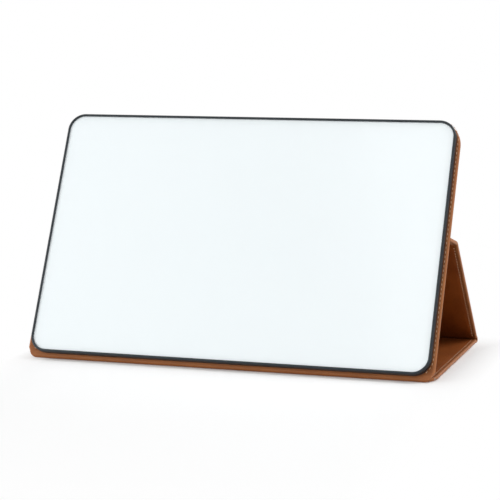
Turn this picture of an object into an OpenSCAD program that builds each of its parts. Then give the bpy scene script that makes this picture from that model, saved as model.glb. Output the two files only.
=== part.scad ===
// Desk whiteboard on a folding leather easel. Millimetres, +Z up.
// The origin is on the desk, at the middle of the footprint. +X is to the right
// of a person who faces the board, and +Y points away from that person.

/* [Whiteboard] */
// Width of the whiteboard over its edge frame
board_w = 400; // [300:1:600]
// Height of the whiteboard over its edge frame
board_h = 250; // [180:1:400]
// Corner radius of the edge frame
corner_r = 17; // [12:0.5:30]
// Depth of the edge frame, from the leather to its front
frame_depth = 7.0; // [6:0.1:12]
// Width of the frame that shows round the writing face
lip_w = 2.3; // [2:0.1:5]
// Thickness of the frame's outer wall
frame_wall = 1.4; // [1:0.1:1.8]
// Rounding of the frame's outer front edge
frame_round = 1.3; // [0.5:0.1:1.5]
// How far the writing face lies below the front of the frame
recess = 1.8; // [1:0.1:3]
// Thickness of the coated steel writing sheet
sheet_t = 0.5; // [0.3:0.1:0.8]
// Thickness of the back plate behind the core
back_plate_t = 0.4; // [0.3:0.1:0.6]
// Thickness of the adhesive pads that hold the whiteboard to the leather
pad_t = 0.8; // [0.5:0.1:1.2]
// Width of each adhesive pad
pad_w = 24; // [12:1:40]
// Distance from the frame's cavity to the outer edge of an adhesive pad
pad_inset = 12; // [4:1:30]
// Gap between the sandwich and the frame's wall
sheet_gap = 0.1; // [0.05:0.05:0.3]

/* [Leather] */
// Leather that shows beside the edge frame
margin = 3.6; // [2.5:0.1:12]
// Leather above the edge frame
top_margin = 2.2; // [2:0.1:12]
// Leather below the edge frame, down to the sharp corner of the front crease
foot_margin = 5.9; // [4.5:0.1:14]
// Thickness of the outer leather
skin_t = 1.0; // [0.8:0.1:1.4]
// Thickness of the inner leather lining
lining_t = 0.8; // [0.5:0.1:1]
// Thickness of the stiff board inside each leaf
stiffener_t = 1.9; // [1.5:0.1:3]
// Width of the outer leather that is turned over onto a leaf's inner face
turned_w = 2.9; // [2:0.1:4]
// Groove between the lining and the turned edge of the outer leather
groove_w = 0.5; // [0.3:0.1:1]
// How much rounder the whiteboard leaf's top corners are than the edge frame's
corner_extra = 8.6; // [3.6:0.1:14]
// Outer radius of the leather at the front and rear creases
crease_r = 2.6; // [2:0.1:3.2]
// Outer radius of the leather at the top crease
top_crease_r = 8; // [2:0.1:8.4]
// Distance from a fold line to the end of each stiff leaf
crease_gap = 1.5; // [1:0.1:3]
// How far the leather draws in at each end of the front crease
crease_nip = 3; // [1:0.1:6]
// Distance from the front fold line at which a leaf starts to draw in
nip_start = 5; // [4:0.1:12]
// Distance from the groove to the middle of a leaf's line of stitches
stitch_gap = 0.8; // [0.5:0.1:8]
// Distance from the edge frame to the line of stitches on the back leaf
frame_stitch_gap = 1.3; // [0.8:0.1:1.6]
// Width of a line of stitches
thread_w = 0.5; // [0.3:0.1:0.8]
// Height of a line of stitches above the leather
thread_h = 0.2; // [0.1:0.05:0.3]

/* [Stand] */
// Lean of the whiteboard back from upright, in degrees
lean = 27; // [20:0.2:32]
// Depth of the stand on the desk, between the sharp corners of its creases
base_depth = 202.5; // [190:0.5:240]
// Angle between the strut and the base, in degrees
strut_angle = 48.8; // [44:0.2:52]
// Length of the flap on its inner face, from the top crease to the whiteboard leaf
flap_len = 33; // [26:0.5:45]
// Rise of the flap above level, in degrees
flap_rise = 14.6; // [8:0.2:24]
// Gap between the flap's magnetic edge and the back of the whiteboard leaf
flap_gap = 0.9; // [0.8:0.1:2]

/* [Magnets] */
// Number of bar magnets in the flap
magnet_count = 6; // [2:1:10]
// Length of a bar magnet
magnet_l = 24; // [10:1:40]
// Width of a bar magnet
magnet_w = 8; // [5:0.5:12]
// Gap round a magnet or the keeper in its pocket
pocket_gap = 0.15; // [0.05:0.05:0.3]
// Material between the magnets and the flap's edge leather
magnet_edge = 1.2; // [0.8:0.1:4]
// Width of the steel keeper strip in the back leaf
keeper_w = 22; // [12:1:40]
// Thickness of the steel keeper strip
keeper_t = 1.0; // [0.5:0.1:1.2]
// Distance from each end of the keeper strip to the side of the leaf
keeper_inset = 24; // [10:1:60]

/* [Hidden] */

outer_leather_colour = [0.60, 0.36, 0.20];
lining_colour = [0.36, 0.18, 0.08];
thread_colour = [0.78, 0.62, 0.46];
greyboard_colour = [0.55, 0.52, 0.48];
steel_colour = [0.72, 0.73, 0.75];
frame_colour = [0.20, 0.21, 0.22];
white_colour = [0.94, 0.98, 0.98];

// A leaf is outer leather, stiff board and lining
leaf_t = skin_t + stiffener_t + lining_t;
leaf_w = board_w + 2 * margin;
// Crease leather is the outer leather and the lining, glued together
crease_t = skin_t + lining_t;
fit_gap = 0.02;
lining_inset = turned_w + groove_w;
stitch_inset = lining_inset + stitch_gap;
big = 3 * (board_w + board_h);
arc_steps = 10;

// Fold lines lie where the inner faces of two leaves meet
board_angle = 90 - lean;
function corner_reach(angle) = leaf_t / tan(angle / 2);
flap_bend = strut_angle - flap_rise;
strut_turn = 180 - strut_angle;
flap_turn = strut_turn + flap_bend;
front_y = corner_reach(board_angle);
rear_y = base_depth - corner_reach(strut_angle);

// The strut is as long as it takes for the flap to reach the whiteboard leaf
strut_inner = ((rear_y - front_y) * sin(board_angle) - flap_len * sin(flap_turn - board_angle))
    / sin(strut_turn - board_angle);
top_y = rear_y + strut_inner * cos(strut_turn);
top_z = leaf_t + strut_inner * sin(strut_turn);
flap_reach = flap_len + 2 * leaf_t;

// Where the flap meets the back of the whiteboard leaf, up from that leaf's fold line
flap_meets_up = (top_y - front_y) * cos(board_angle) + (top_z - leaf_t) * sin(board_angle)
    + flap_len * cos(flap_turn - board_angle);

// Heights on the whiteboard leaf, up from its fold line
frame_low = foot_margin - corner_reach(board_angle);
frame_top = frame_low + board_h;
leaf_top = frame_top + top_margin;
leaf_corner_r = corner_r + corner_extra;

// Depths on the whiteboard leaf, forward from its back
frame_front = leaf_t + frame_depth;
face_front = frame_front - recess;
sheet_back = face_front - sheet_t;
plate_back = leaf_t + pad_t;
core_back = plate_back + back_plate_t;
sandwich_inset = frame_wall + sheet_gap;

// The footprint's middle, which the origin lies under
front_most = front_y + (frame_low + frame_round) * cos(board_angle)
    - (frame_front - frame_round) * sin(board_angle) - frame_round;
rear_most = rear_y + (leaf_t - crease_r) / tan(strut_angle / 2) + crease_r;
middle_y = (front_most + rear_most) / 2;

// ---- frames of the leaves: x across, y away from the fold line, z through ----

module in_base() {
    translate([0, front_y - middle_y, 0]) children();
}

module in_strut() {
    translate([0, rear_y - middle_y, leaf_t]) rotate([strut_turn, 0, 0])
        translate([0, 0, -leaf_t]) children();
}

module in_flap() {
    translate([0, top_y - middle_y, top_z]) rotate([flap_turn, 0, 0])
        translate([0, 0, -leaf_t]) children();
}

module in_back() {
    translate([0, front_y - middle_y, leaf_t]) rotate([board_angle, 0, 0]) children();
}

// ---- shapes that repeat ----

// A block across the leaf, from y0 to y1 and z0 to z1
module across(width, y0, y1, z0, z1) {
    translate([-width / 2, y0, z0]) cube([width, y1 - y0, z1 - z0]);
}

// A rectangle with four round corners, low edge at y0, drawn about its middle
module round_plate(width, y0, y1, radius, z0, z1) {
    half_x = width / 2 - radius;
    half_y = (y1 - y0) / 2 - radius;
    translate([0, (y0 + y1) / 2, z0]) linear_extrude(z1 - z0) union() {
        translate([-half_x, -half_y - radius]) square([2 * half_x, 2 * (half_y + radius)]);
        translate([-half_x - radius, -half_y]) square([2 * (half_x + radius), 2 * half_y]);
        for (x = [-half_x, half_x], y = [-half_y, half_y])
            translate([x, y]) circle(radius, $fn = 64);
    }
}

// Outline of a leaf that draws in at its front crease, for a piece set in by `inset`
// from the leaf's sides. It runs from y0 to y1, with its points moved by -shift.
nip_slope = crease_nip / (nip_start - crease_gap);
nip_stretch = sqrt(1 + nip_slope * nip_slope);
function drawn_in(inset, y0, y1, shift) =
    let (x = leaf_w / 2 - inset,
        x0 = leaf_w / 2 - nip_slope * (nip_start - y0) - inset * nip_stretch,
        y = nip_start + inset * (nip_stretch - 1) / nip_slope)
    [[x0, y0 - shift], [x, y - shift], [x, y1 - shift],
        [-x, y1 - shift], [-x, y - shift], [-x0, y0 - shift]];

// A plate for the base, which draws in at its front
module drawn_in_plate(inset, y0, y1, z0, z1) {
    translate([0, 0, z0]) linear_extrude(z1 - z0) polygon(drawn_in(inset, y0, y1, 0));
}

// A plate for the whiteboard leaf, which draws in low down and has round corners at
// the top. It is drawn from the line through the middles of its corner arcs.
module arched_plate(inset, y0, y1, radius, z0, z1) {
    half_x = leaf_w / 2 - inset - radius;
    middle = y1 - radius;
    translate([0, middle, z0]) linear_extrude(z1 - z0) union() {
        polygon(drawn_in(inset, y0, middle, middle));
        translate([-half_x, -1]) square([2 * half_x, radius + 1]);
        for (x = [-half_x, half_x])
            translate([x, 0]) circle(radius, $fn = 64);
    }
}

// Two lines of stitches along a leaf, on the face at height z
module side_stitches(y0, y1, z) {
    for (side = [-1, 1])
        translate([side * (leaf_w / 2 - stitch_inset) - thread_w / 2, y0, z])
            cube([thread_w, y1 - y0, thread_h]);
}

// Points along an arc
function arc(centre, radius, from, to) =
    [for (i = [0:arc_steps]) let (a = from + (to - from) * i / arc_steps)
        [centre[0] + radius * cos(a), centre[1] + radius * sin(a)]];

// A crease strip in section, drawn for a leaf that lies along +x with its inner
// face up, and a second leaf that stands at `angle` to it. The fold line is at 0, 0.
module crease_section(angle, radius) {
    run = (leaf_t - radius) / tan(angle / 2);
    centre = [-run, -(leaf_t - radius)];
    out_turn = 90 + angle;
    near = [crease_gap, -leaf_t];
    far = [crease_gap * cos(angle), crease_gap * sin(angle)];
    off = [cos(out_turn), sin(out_turn)];
    polygon(concat(
        [near],
        arc(centre, radius, 270, out_turn),
        [far + leaf_t * off, far + (leaf_t - crease_t) * off],
        arc(centre, radius - crease_t, out_turn, 270),
        [near + [0, crease_t]]
    ));
}

// ---- base ----

base_end = rear_y - front_y - crease_gap;

module leaf_tray(y0, y1) {
    difference() {
        across(leaf_w, y0, y1, 0, leaf_t);
        across(leaf_w - 2 * skin_t, y0 - 1, y1 + 1, skin_t, skin_t + stiffener_t);
        across(leaf_w - 2 * turned_w, y0 - 1, y1 + 1, skin_t + stiffener_t / 2, leaf_t + 1);
    }
}

module leaf_core(y0, y1) {
    across(leaf_w - 2 * skin_t - 2 * fit_gap, y0, y1, skin_t, skin_t + stiffener_t);
}

module leaf_lining(y0, y1) {
    across(leaf_w - 2 * lining_inset, y0, y1, skin_t + stiffener_t, leaf_t);
}

module base_outer_leather() {
    color(outer_leather_colour) in_base() difference() {
        drawn_in_plate(0, crease_gap, base_end, 0, leaf_t);
        drawn_in_plate(skin_t, crease_gap - 1, base_end + 1, skin_t, skin_t + stiffener_t);
        drawn_in_plate(turned_w, crease_gap - 1, base_end + 1, skin_t + stiffener_t / 2, leaf_t + 1);
    }
}

module base_stiffener() {
    color(greyboard_colour) in_base()
        drawn_in_plate(skin_t + fit_gap, crease_gap, base_end, skin_t, skin_t + stiffener_t);
}

module base_lining() {
    color(lining_colour) in_base()
        drawn_in_plate(lining_inset, crease_gap, base_end, skin_t + stiffener_t, leaf_t);
}

module base_stitching() {
    color(thread_colour) in_base() side_stitches(crease_gap + stitch_inset, base_end - stitch_inset, leaf_t);
}

// ---- creases ----

// The section is drawn in x and y, and runs across the leaf
module crease_strip(angle, width, radius) {
    translate([-width / 2, 0, 0]) rotate([90, 0, 90]) linear_extrude(width)
        crease_section(angle, radius);
}

module front_crease() {
    color(outer_leather_colour) in_base() translate([0, 0, leaf_t])
        crease_strip(board_angle, leaf_w - 2 * crease_nip, crease_r);
}

module rear_crease() {
    color(outer_leather_colour) translate([0, rear_y - middle_y, leaf_t])
        mirror([0, 1, 0]) crease_strip(strut_angle, leaf_w, crease_r);
}

module top_crease() {
    color(outer_leather_colour) in_flap() translate([0, 0, leaf_t])
        crease_strip(180 - flap_bend, leaf_w, top_crease_r);
}

// ---- strut ----

strut_end = strut_inner - crease_gap;

module strut_outer_leather() {
    color(outer_leather_colour) in_strut() leaf_tray(crease_gap, strut_end);
}

module strut_stiffener() {
    color(greyboard_colour) in_strut() leaf_core(crease_gap, strut_end);
}

module strut_lining() {
    color(lining_colour) in_strut() leaf_lining(crease_gap, strut_end);
}

module strut_stitching() {
    color(thread_colour) in_strut() {
        side_stitches(crease_gap + stitch_inset, strut_end - stitch_inset, leaf_t);
        side_stitches(crease_gap + stitch_inset, strut_end - stitch_inset, -thread_h);
    }
}

// ---- flap ----

// All that lies nearer to the whiteboard leaf than `clear`
module board_side(clear) {
    in_back() across(big, -big, big, -clear, big);
}

module flap_outer_leather() {
    color(outer_leather_colour) difference() {
        in_flap() across(leaf_w, crease_gap, flap_reach, 0, leaf_t);
        board_side(flap_gap);
        difference() {
            in_flap() across(leaf_w - 2 * skin_t, 0, flap_reach + 1, skin_t, skin_t + stiffener_t);
            board_side(flap_gap + skin_t);
        }
        difference() {
            in_flap() across(leaf_w - 2 * turned_w, 0, flap_reach + 1,
                skin_t + stiffener_t / 2, leaf_t + 1);
            board_side(flap_gap + turned_w);
        }
    }
}

// Where the middle of a magnet lies along the flap
magnet_up = flap_len - (flap_gap + skin_t + magnet_edge + magnet_w / 2) - leaf_t;
magnet_pitch = (leaf_w - 2 * keeper_inset - magnet_l) / (magnet_count - 1);

module magnet_bars(gap) {
    for (i = [0:magnet_count - 1])
        translate([(i - (magnet_count - 1) / 2) * magnet_pitch, magnet_up, 0])
            across(magnet_l + 2 * gap, -magnet_w / 2 - gap, magnet_w / 2 + gap,
                skin_t - (gap > 0 ? 1 : 0), skin_t + stiffener_t + (gap > 0 ? 1 : 0));
}

module flap_stiffener() {
    color(greyboard_colour) difference() {
        in_flap() across(leaf_w - 2 * skin_t - 2 * fit_gap, crease_gap, flap_reach,
            skin_t, skin_t + stiffener_t);
        board_side(flap_gap + skin_t + fit_gap);
        in_flap() magnet_bars(pocket_gap);
    }
}

module flap_lining() {
    color(lining_colour) difference() {
        in_flap() across(leaf_w - 2 * lining_inset, crease_gap, flap_reach,
            skin_t + stiffener_t, leaf_t);
        board_side(flap_gap + lining_inset);
    }
}

module flap_stitching() {
    flap_stitch_end = flap_len - flap_gap - stitch_inset;
    color(thread_colour) in_flap() {
        side_stitches(crease_gap + thread_w, flap_stitch_end, leaf_t);
        side_stitches(crease_gap + thread_w, flap_stitch_end, -thread_h);
    }
}

module flap_magnets() {
    color(steel_colour) in_flap() magnet_bars(0);
}

// ---- whiteboard leaf ----

module back_outer_leather() {
    color(outer_leather_colour) in_back() difference() {
        arched_plate(0, crease_gap, leaf_top, leaf_corner_r, 0, leaf_t);
        arched_plate(skin_t, crease_gap - 1, leaf_top - skin_t,
            leaf_corner_r - skin_t, lining_t, leaf_t - skin_t);
        arched_plate(turned_w, crease_gap - 1, leaf_top - turned_w,
            leaf_corner_r - turned_w, -1, lining_t + stiffener_t / 2);
    }
}

module keeper_bar(gap) {
    across(leaf_w - 2 * keeper_inset + 2 * gap, flap_meets_up - keeper_w / 2 - gap,
        flap_meets_up + keeper_w / 2 + gap, lining_t - (gap > 0 ? 1 : 0), lining_t + keeper_t);
}

module back_stiffener() {
    color(greyboard_colour) in_back() difference() {
        arched_plate(skin_t + fit_gap, crease_gap, leaf_top - skin_t - fit_gap,
            leaf_corner_r - skin_t - fit_gap, lining_t, lining_t + stiffener_t);
        keeper_bar(pocket_gap);
    }
}

module steel_keeper() {
    color(steel_colour) in_back() keeper_bar(0);
}

module back_lining() {
    color(lining_colour) in_back() arched_plate(lining_inset, crease_gap,
        leaf_top - lining_inset, leaf_corner_r - lining_inset, 0, lining_t);
}

// A thin line of stitches that follows the edge frame
module back_stitching() {
    line_r = corner_r + frame_stitch_gap;
    reach = frame_stitch_gap;
    color(thread_colour) in_back() intersection() {
        difference() {
            round_plate(board_w + 2 * (reach + thread_w), frame_low - reach - thread_w,
                frame_top + reach + thread_w, line_r + thread_w, leaf_t, leaf_t + thread_h);
            round_plate(board_w + 2 * reach, frame_low - reach, frame_top + reach, line_r,
                leaf_t - 1, leaf_t + thread_h + 1);
        }
        across(big, crease_gap, big, 0, big);
    }
}

module adhesive_pads() {
    pad_x = board_w / 2 - sandwich_inset - pad_inset;
    pad_low = max(frame_low + sandwich_inset + pad_inset, crease_gap);
    pad_high = frame_top - sandwich_inset - pad_inset;
    color([0.85, 0.85, 0.83]) in_back() for (y = [pad_low, (pad_low + pad_high - pad_w) / 2, pad_high - pad_w])
        across(2 * pad_x, y, y + pad_w, leaf_t, plate_back);
}

// ---- whiteboard ----

// Section of the edge frame: x outward from the corner arc's centre, y forward
module frame_section() {
    outer = corner_r;
    union() {
        translate([outer - frame_wall, leaf_t]) square([frame_wall, frame_depth - frame_round]);
        translate([outer - lip_w, face_front]) square([lip_w - frame_round, recess]);
        translate([outer - lip_w, face_front]) square([lip_w, recess - frame_round]);
        intersection() {
            translate([outer - frame_round, frame_front - frame_round]) circle(frame_round, $fn = 48);
            translate([outer - frame_round, frame_front - frame_round]) square(frame_round + 1);
        }
    }
}

module frame_rail(length) {
    translate([0, length / 2, 0]) rotate([90, 0, 0]) linear_extrude(length) frame_section();
}

module edge_frame() {
    run_x = board_w - 2 * corner_r;
    run_y = board_h - 2 * corner_r;
    color(frame_colour) in_back() translate([0, frame_low + board_h / 2, 0]) union() {
        for (side = [0, 180]) rotate([0, 0, side]) {
            translate([run_x / 2, 0, 0]) frame_rail(run_y);
            rotate([0, 0, 90]) translate([run_y / 2, 0, 0]) frame_rail(run_x);
            translate([run_x / 2, run_y / 2, 0]) rotate_extrude(angle = 90, $fn = 64)
                frame_section();
            rotate([0, 0, 90]) translate([run_y / 2, run_x / 2, 0])
                rotate_extrude(angle = 90, $fn = 64) frame_section();
        }
    }
}

module sandwich_layer(z0, z1) {
    in_back() round_plate(board_w - 2 * sandwich_inset, frame_low + sandwich_inset,
        frame_top - sandwich_inset, corner_r - sandwich_inset, z0, z1);
}

module writing_sheet() {
    color(white_colour) sandwich_layer(sheet_back, face_front);
}

module board_core() {
    color(greyboard_colour) sandwich_layer(core_back, sheet_back);
}

module board_back_plate() {
    color(steel_colour) sandwich_layer(plate_back, core_back);
}

base_outer_leather();
base_stiffener();
base_lining();
base_stitching();
front_crease();
rear_crease();
strut_outer_leather();
strut_stiffener();
strut_lining();
strut_stitching();
top_crease();
flap_outer_leather();
flap_stiffener();
flap_lining();
flap_stitching();
flap_magnets();
back_outer_leather();
back_stiffener();
back_lining();
back_stitching();
steel_keeper();
adhesive_pads();
edge_frame();
writing_sheet();
board_core();
board_back_plate();
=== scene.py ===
"""Looks for a desk whiteboard on a folding leather easel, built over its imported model.

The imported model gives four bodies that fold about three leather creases. Each class
builds and dresses one sub-assembly in the frame of the leaf that carries it.
The classes hold their sizes in millimetres, and the meshes are made in metres.
"""

import logging
import math
import random
from dataclasses import dataclass, field
from enum import Enum

import bmesh
import bpy
import numpy as np
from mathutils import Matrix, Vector


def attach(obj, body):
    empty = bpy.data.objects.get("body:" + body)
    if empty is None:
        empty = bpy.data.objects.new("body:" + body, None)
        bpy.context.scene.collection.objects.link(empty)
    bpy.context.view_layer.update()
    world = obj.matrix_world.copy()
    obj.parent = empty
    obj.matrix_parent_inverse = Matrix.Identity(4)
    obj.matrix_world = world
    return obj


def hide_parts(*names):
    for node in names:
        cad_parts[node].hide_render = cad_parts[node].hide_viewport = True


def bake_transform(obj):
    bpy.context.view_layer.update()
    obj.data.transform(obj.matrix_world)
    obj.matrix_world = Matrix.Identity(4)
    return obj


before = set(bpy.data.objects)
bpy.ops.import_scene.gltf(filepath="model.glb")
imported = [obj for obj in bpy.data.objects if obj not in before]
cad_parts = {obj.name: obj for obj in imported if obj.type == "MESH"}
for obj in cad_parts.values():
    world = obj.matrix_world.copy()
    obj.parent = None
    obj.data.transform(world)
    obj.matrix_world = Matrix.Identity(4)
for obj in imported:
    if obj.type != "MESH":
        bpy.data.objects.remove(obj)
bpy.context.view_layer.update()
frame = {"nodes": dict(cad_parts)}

LOG = logging.getLogger("easel")
MM = 0.001
GRAIN = "grain_mm"
# Per-point amount by which the leather is painted lighter: partly wear, partly a painted
# highlight on lit edges.
WEAR_AND_SHEEN = "wear_and_sheen"

Pair = tuple[float, float]
Triple = tuple[float, float, float]

# Half a section across a leaf: inset from its edge, height over its outer face, and how
# much the leather lightens there, partly from wear and partly as a painted highlight.
HalfSection = list[Triple]

# An edge seen from the front: x, y and the outward direction there.
Outline = list[tuple[float, float, float, float]]


# ---------------------------------------------------------------- names


class Body(Enum):
    """The bodies that the pieces ride on."""

    BASE = "base"
    STRUT = "strut"
    FLAP = "flap"
    WHITEBOARD = "whiteboard"


class Slot(Enum):
    """The record's material slots, which are passed along with new pieces."""

    OUTER_LEATHER = "outer_leather"
    LINING = "lining"
    THREAD = "thread"
    EDGE_FRAME = "edge_frame"
    WRITING_FACE = "writing_face"


class Face(Enum):
    """The two faces of a leaf that a line of stitches can show on."""

    INNER = 1
    OUTER = -1


# ---------------------------------------------------------------- sizes


@dataclass(frozen=True)
class EaselSizes:
    """Sizes of the easel: those of the part's source, and the front fold's nip."""

    board_w: float = 400.0
    board_h: float = 250.0
    corner_r: float = 17.0
    frame_depth: float = 7.0
    lip_w: float = 2.3
    frame_wall: float = 1.4
    frame_round: float = 1.3
    recess: float = 1.8
    sheet_t: float = 0.5
    sheet_gap: float = 0.1
    margin: float = 3.6
    top_margin: float = 2.2
    foot_margin: float = 5.9
    skin_t: float = 1.0
    lining_t: float = 0.8
    stiffener_t: float = 1.9
    turned_w: float = 2.9
    groove_w: float = 0.5
    corner_extra: float = 8.6
    crease_r: float = 2.6
    top_crease_r: float = 8.0
    crease_gap: float = 1.5
    stitch_gap: float = 0.8
    frame_stitch_gap: float = 0.8
    lean: float = 27.0
    base_depth: float = 202.5
    strut_angle: float = 48.8
    flap_len: float = 33.0
    flap_rise: float = 14.6
    flap_gap: float = 0.9
    fold_nip: float = 9.6
    base_nip: float = 11.0
    nip_start: float = 5.3
    nip_early: float = 1.8
    nip_fade: float = 3.8
    nip_tail: float = 0.02
    nip_shares: Pair = (0.68, 0.32)
    nip_powers: Pair = (1.1, 5.0)

    def corner_reach(self, angle: float) -> float:
        """Distance from a fold line to the sharp outer corner of two leaves.

        Args:
            angle: Angle between the two leaves' inner faces, in degrees.

        Returns:
            The distance along a leaf, in millimetres.
        """
        return self.leaf_t / math.tan(math.radians(angle / 2))

    @property
    def leaf_t(self) -> float:
        """Thickness of a leaf."""
        return self.skin_t + self.stiffener_t + self.lining_t

    @property
    def crease_t(self) -> float:
        """Thickness of the leather in a crease."""
        return self.skin_t + self.lining_t

    @property
    def leaf_w(self) -> float:
        """Width of every leaf."""
        return self.board_w + 2 * self.margin

    @property
    def board_angle(self) -> float:
        """Angle between the base and the whiteboard leaf."""
        return 90.0 - self.lean

    @property
    def flap_bend(self) -> float:
        """How far the flap turns from the strut's direction."""
        return self.strut_angle - self.flap_rise

    @property
    def strut_turn(self) -> float:
        """Direction of the strut, from the desk."""
        return 180.0 - self.strut_angle

    @property
    def flap_turn(self) -> float:
        """Direction of the flap, from the desk."""
        return self.strut_turn + self.flap_bend

    @property
    def front_y(self) -> float:
        """Front fold line, from the sharp front corner."""
        return self.corner_reach(self.board_angle)

    @property
    def rear_y(self) -> float:
        """Rear fold line, from the sharp front corner."""
        return self.base_depth - self.corner_reach(self.strut_angle)

    @property
    def strut_inner(self) -> float:
        """Length of the strut's inner face."""
        board, strut, flap = (
            math.radians(a) for a in (self.board_angle, self.strut_turn, self.flap_turn)
        )
        reach = (self.rear_y - self.front_y) * math.sin(board)
        return (reach - self.flap_len * math.sin(flap - board)) / math.sin(
            strut - board
        )

    @property
    def frame_low(self) -> float:
        """Low edge of the edge frame, up the leaf from its fold line."""
        return self.foot_margin - self.corner_reach(self.board_angle)

    @property
    def leaf_top(self) -> float:
        """Top edge of the whiteboard leaf."""
        return self.frame_low + self.board_h + self.top_margin

    @property
    def leaf_corner_r(self) -> float:
        """Radius of the whiteboard leaf's top corners."""
        return self.corner_r + self.corner_extra

    @property
    def frame_front(self) -> float:
        """Front of the edge frame, forward from the back of the leaf."""
        return self.leaf_t + self.frame_depth

    @property
    def face_front(self) -> float:
        """The writing face, forward from the back of the leaf."""
        return self.frame_front - self.recess

    @property
    def middle_y(self) -> float:
        """Middle of the footprint, from the sharp front corner."""
        angle = math.radians(self.board_angle)
        front = self.front_y - self.frame_round
        front += (self.frame_low + self.frame_round) * math.cos(angle)
        front -= (self.frame_front - self.frame_round) * math.sin(angle)
        rear = self.rear_y + self.crease_r
        rear += (self.leaf_t - self.crease_r) / math.tan(
            math.radians(self.strut_angle / 2)
        )
        return (front + rear) / 2

    @property
    def lining_inset(self) -> float:
        """Distance from a leaf's edge to its lining."""
        return self.turned_w + self.groove_w

    @property
    def stitch_inset(self) -> float:
        """Distance from a leaf's edge to its line of stitches."""
        return self.lining_inset + self.stitch_gap

    @property
    def fold_run(self) -> float:
        """Length of the front crease's outside, from leaf to leaf."""
        turn = math.radians(self.board_angle)
        straight = self.crease_gap + (self.leaf_t - self.crease_r) / math.tan(turn / 2)
        return 2 * straight + self.crease_r * (math.pi - turn)

    def nip(self, along: float) -> float:
        """How far the leather draws in at the front fold, most where it meets the desk.

        Args:
            along: Distance down the whiteboard leaf and round the fold, from where the
                leaf ends. It is below zero on the leaf and goes on over the base.

        Returns:
            The distance inward, in millimetres.
        """
        lowest = self.fold_run - self.crease_gap - self.nip_early
        before = self.nip_start - self.crease_gap
        rise = min(1.0, max(0.0, (along + before) / (lowest + before)))
        fade = math.exp(-max(0.0, along - lowest) / self.nip_fade)
        fade = max(0.0, (fade - self.nip_tail) / (1 - self.nip_tail))
        shape = sum(s * rise**p for s, p in zip(self.nip_shares, self.nip_powers))
        return self.fold_nip * shape * fade


@dataclass(frozen=True)
class LeafFrame:
    """Frame of one leaf: x across, y away from its fold line, z through it.

    The leaf starts at a fold line and is turned about +X. Its z = 0 lies `drop` below
    the fold line.
    """

    hinge_y: float
    hinge_z: float
    turn: float
    drop: float

    def place(self, points: np.ndarray) -> np.ndarray:
        """Takes points of the leaf to the easel's frame.

        Args:
            points: Rows of x, y, z in the leaf, in millimetres.

        Returns:
            The same rows in the easel's frame, in millimetres.
        """
        rows = np.asarray(points, float).reshape(-1, 3)
        angle = math.radians(self.turn)
        c, s = math.cos(angle), math.sin(angle)
        y, z = rows[:, 1], rows[:, 2] - self.drop
        return np.column_stack(
            [rows[:, 0], self.hinge_y + y * c - z * s, self.hinge_z + y * s + z * c]
        )

    def fold_line(self, turn: float = 0.0) -> "LeafFrame":
        """A frame on this leaf's fold line, turned from the desk by an angle."""
        return LeafFrame(self.hinge_y, self.hinge_z, turn, 0.0)


@dataclass(frozen=True)
class LeafFrames:
    """The frames of the four leaves."""

    sizes: EaselSizes

    @property
    def base(self) -> LeafFrame:
        """The base leaf, flat on the desk."""
        s = self.sizes
        return LeafFrame(s.front_y - s.middle_y, 0.0, 0.0, 0.0)

    @property
    def strut(self) -> LeafFrame:
        """The strut leaf, from the rear fold line."""
        s = self.sizes
        return LeafFrame(s.rear_y - s.middle_y, s.leaf_t, s.strut_turn, s.leaf_t)

    @property
    def flap(self) -> LeafFrame:
        """The flap, from the top fold line."""
        s = self.sizes
        turn = math.radians(s.strut_turn)
        y = s.rear_y - s.middle_y + s.strut_inner * math.cos(turn)
        z = s.leaf_t + s.strut_inner * math.sin(turn)
        return LeafFrame(y, z, s.flap_turn, s.leaf_t)

    @property
    def board(self) -> LeafFrame:
        """The whiteboard leaf: z = 0 is its back and z grows forward."""
        s = self.sizes
        return LeafFrame(s.front_y - s.middle_y, s.leaf_t, s.board_angle, 0.0)


# ---------------------------------------------------------------- mesh helpers


def arc(
    centre: Pair, radius: float, start: float, end: float, steps: int
) -> list[Pair]:
    """Points along an arc in a plane.

    Args:
        centre: Middle of the arc.
        radius: Its radius.
        start: First angle, in degrees.
        end: Last angle, in degrees.
        steps: Number of steps along it.

    Returns:
        One point more than there are steps.
    """
    angles = [math.radians(start + (end - start) * i / steps) for i in range(steps + 1)]
    return [
        (centre[0] + radius * math.cos(a), centre[1] + radius * math.sin(a))
        for a in angles
    ]


def quarter(points: int) -> np.ndarray:
    """Angles from 0 to 90 degrees in even steps, in radians."""
    return np.linspace(0.0, math.pi / 2, points)


def round_corner(centre: Pair, radius: float, begin: float, steps: int) -> Outline:
    """A quarter-round corner.

    Args:
        centre: Middle of its arc.
        radius: Its radius.
        begin: First angle, in degrees.
        steps: Number of steps along it.

    Returns:
        Points and the outward direction at each.
    """
    rows: Outline = []
    for i in range(steps + 1):
        a = math.radians(begin + 90.0 * i / steps)
        out = (math.cos(a), math.sin(a))
        rows.append((centre[0] + radius * out[0], centre[1] + radius * out[1], *out))
    return rows


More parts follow.
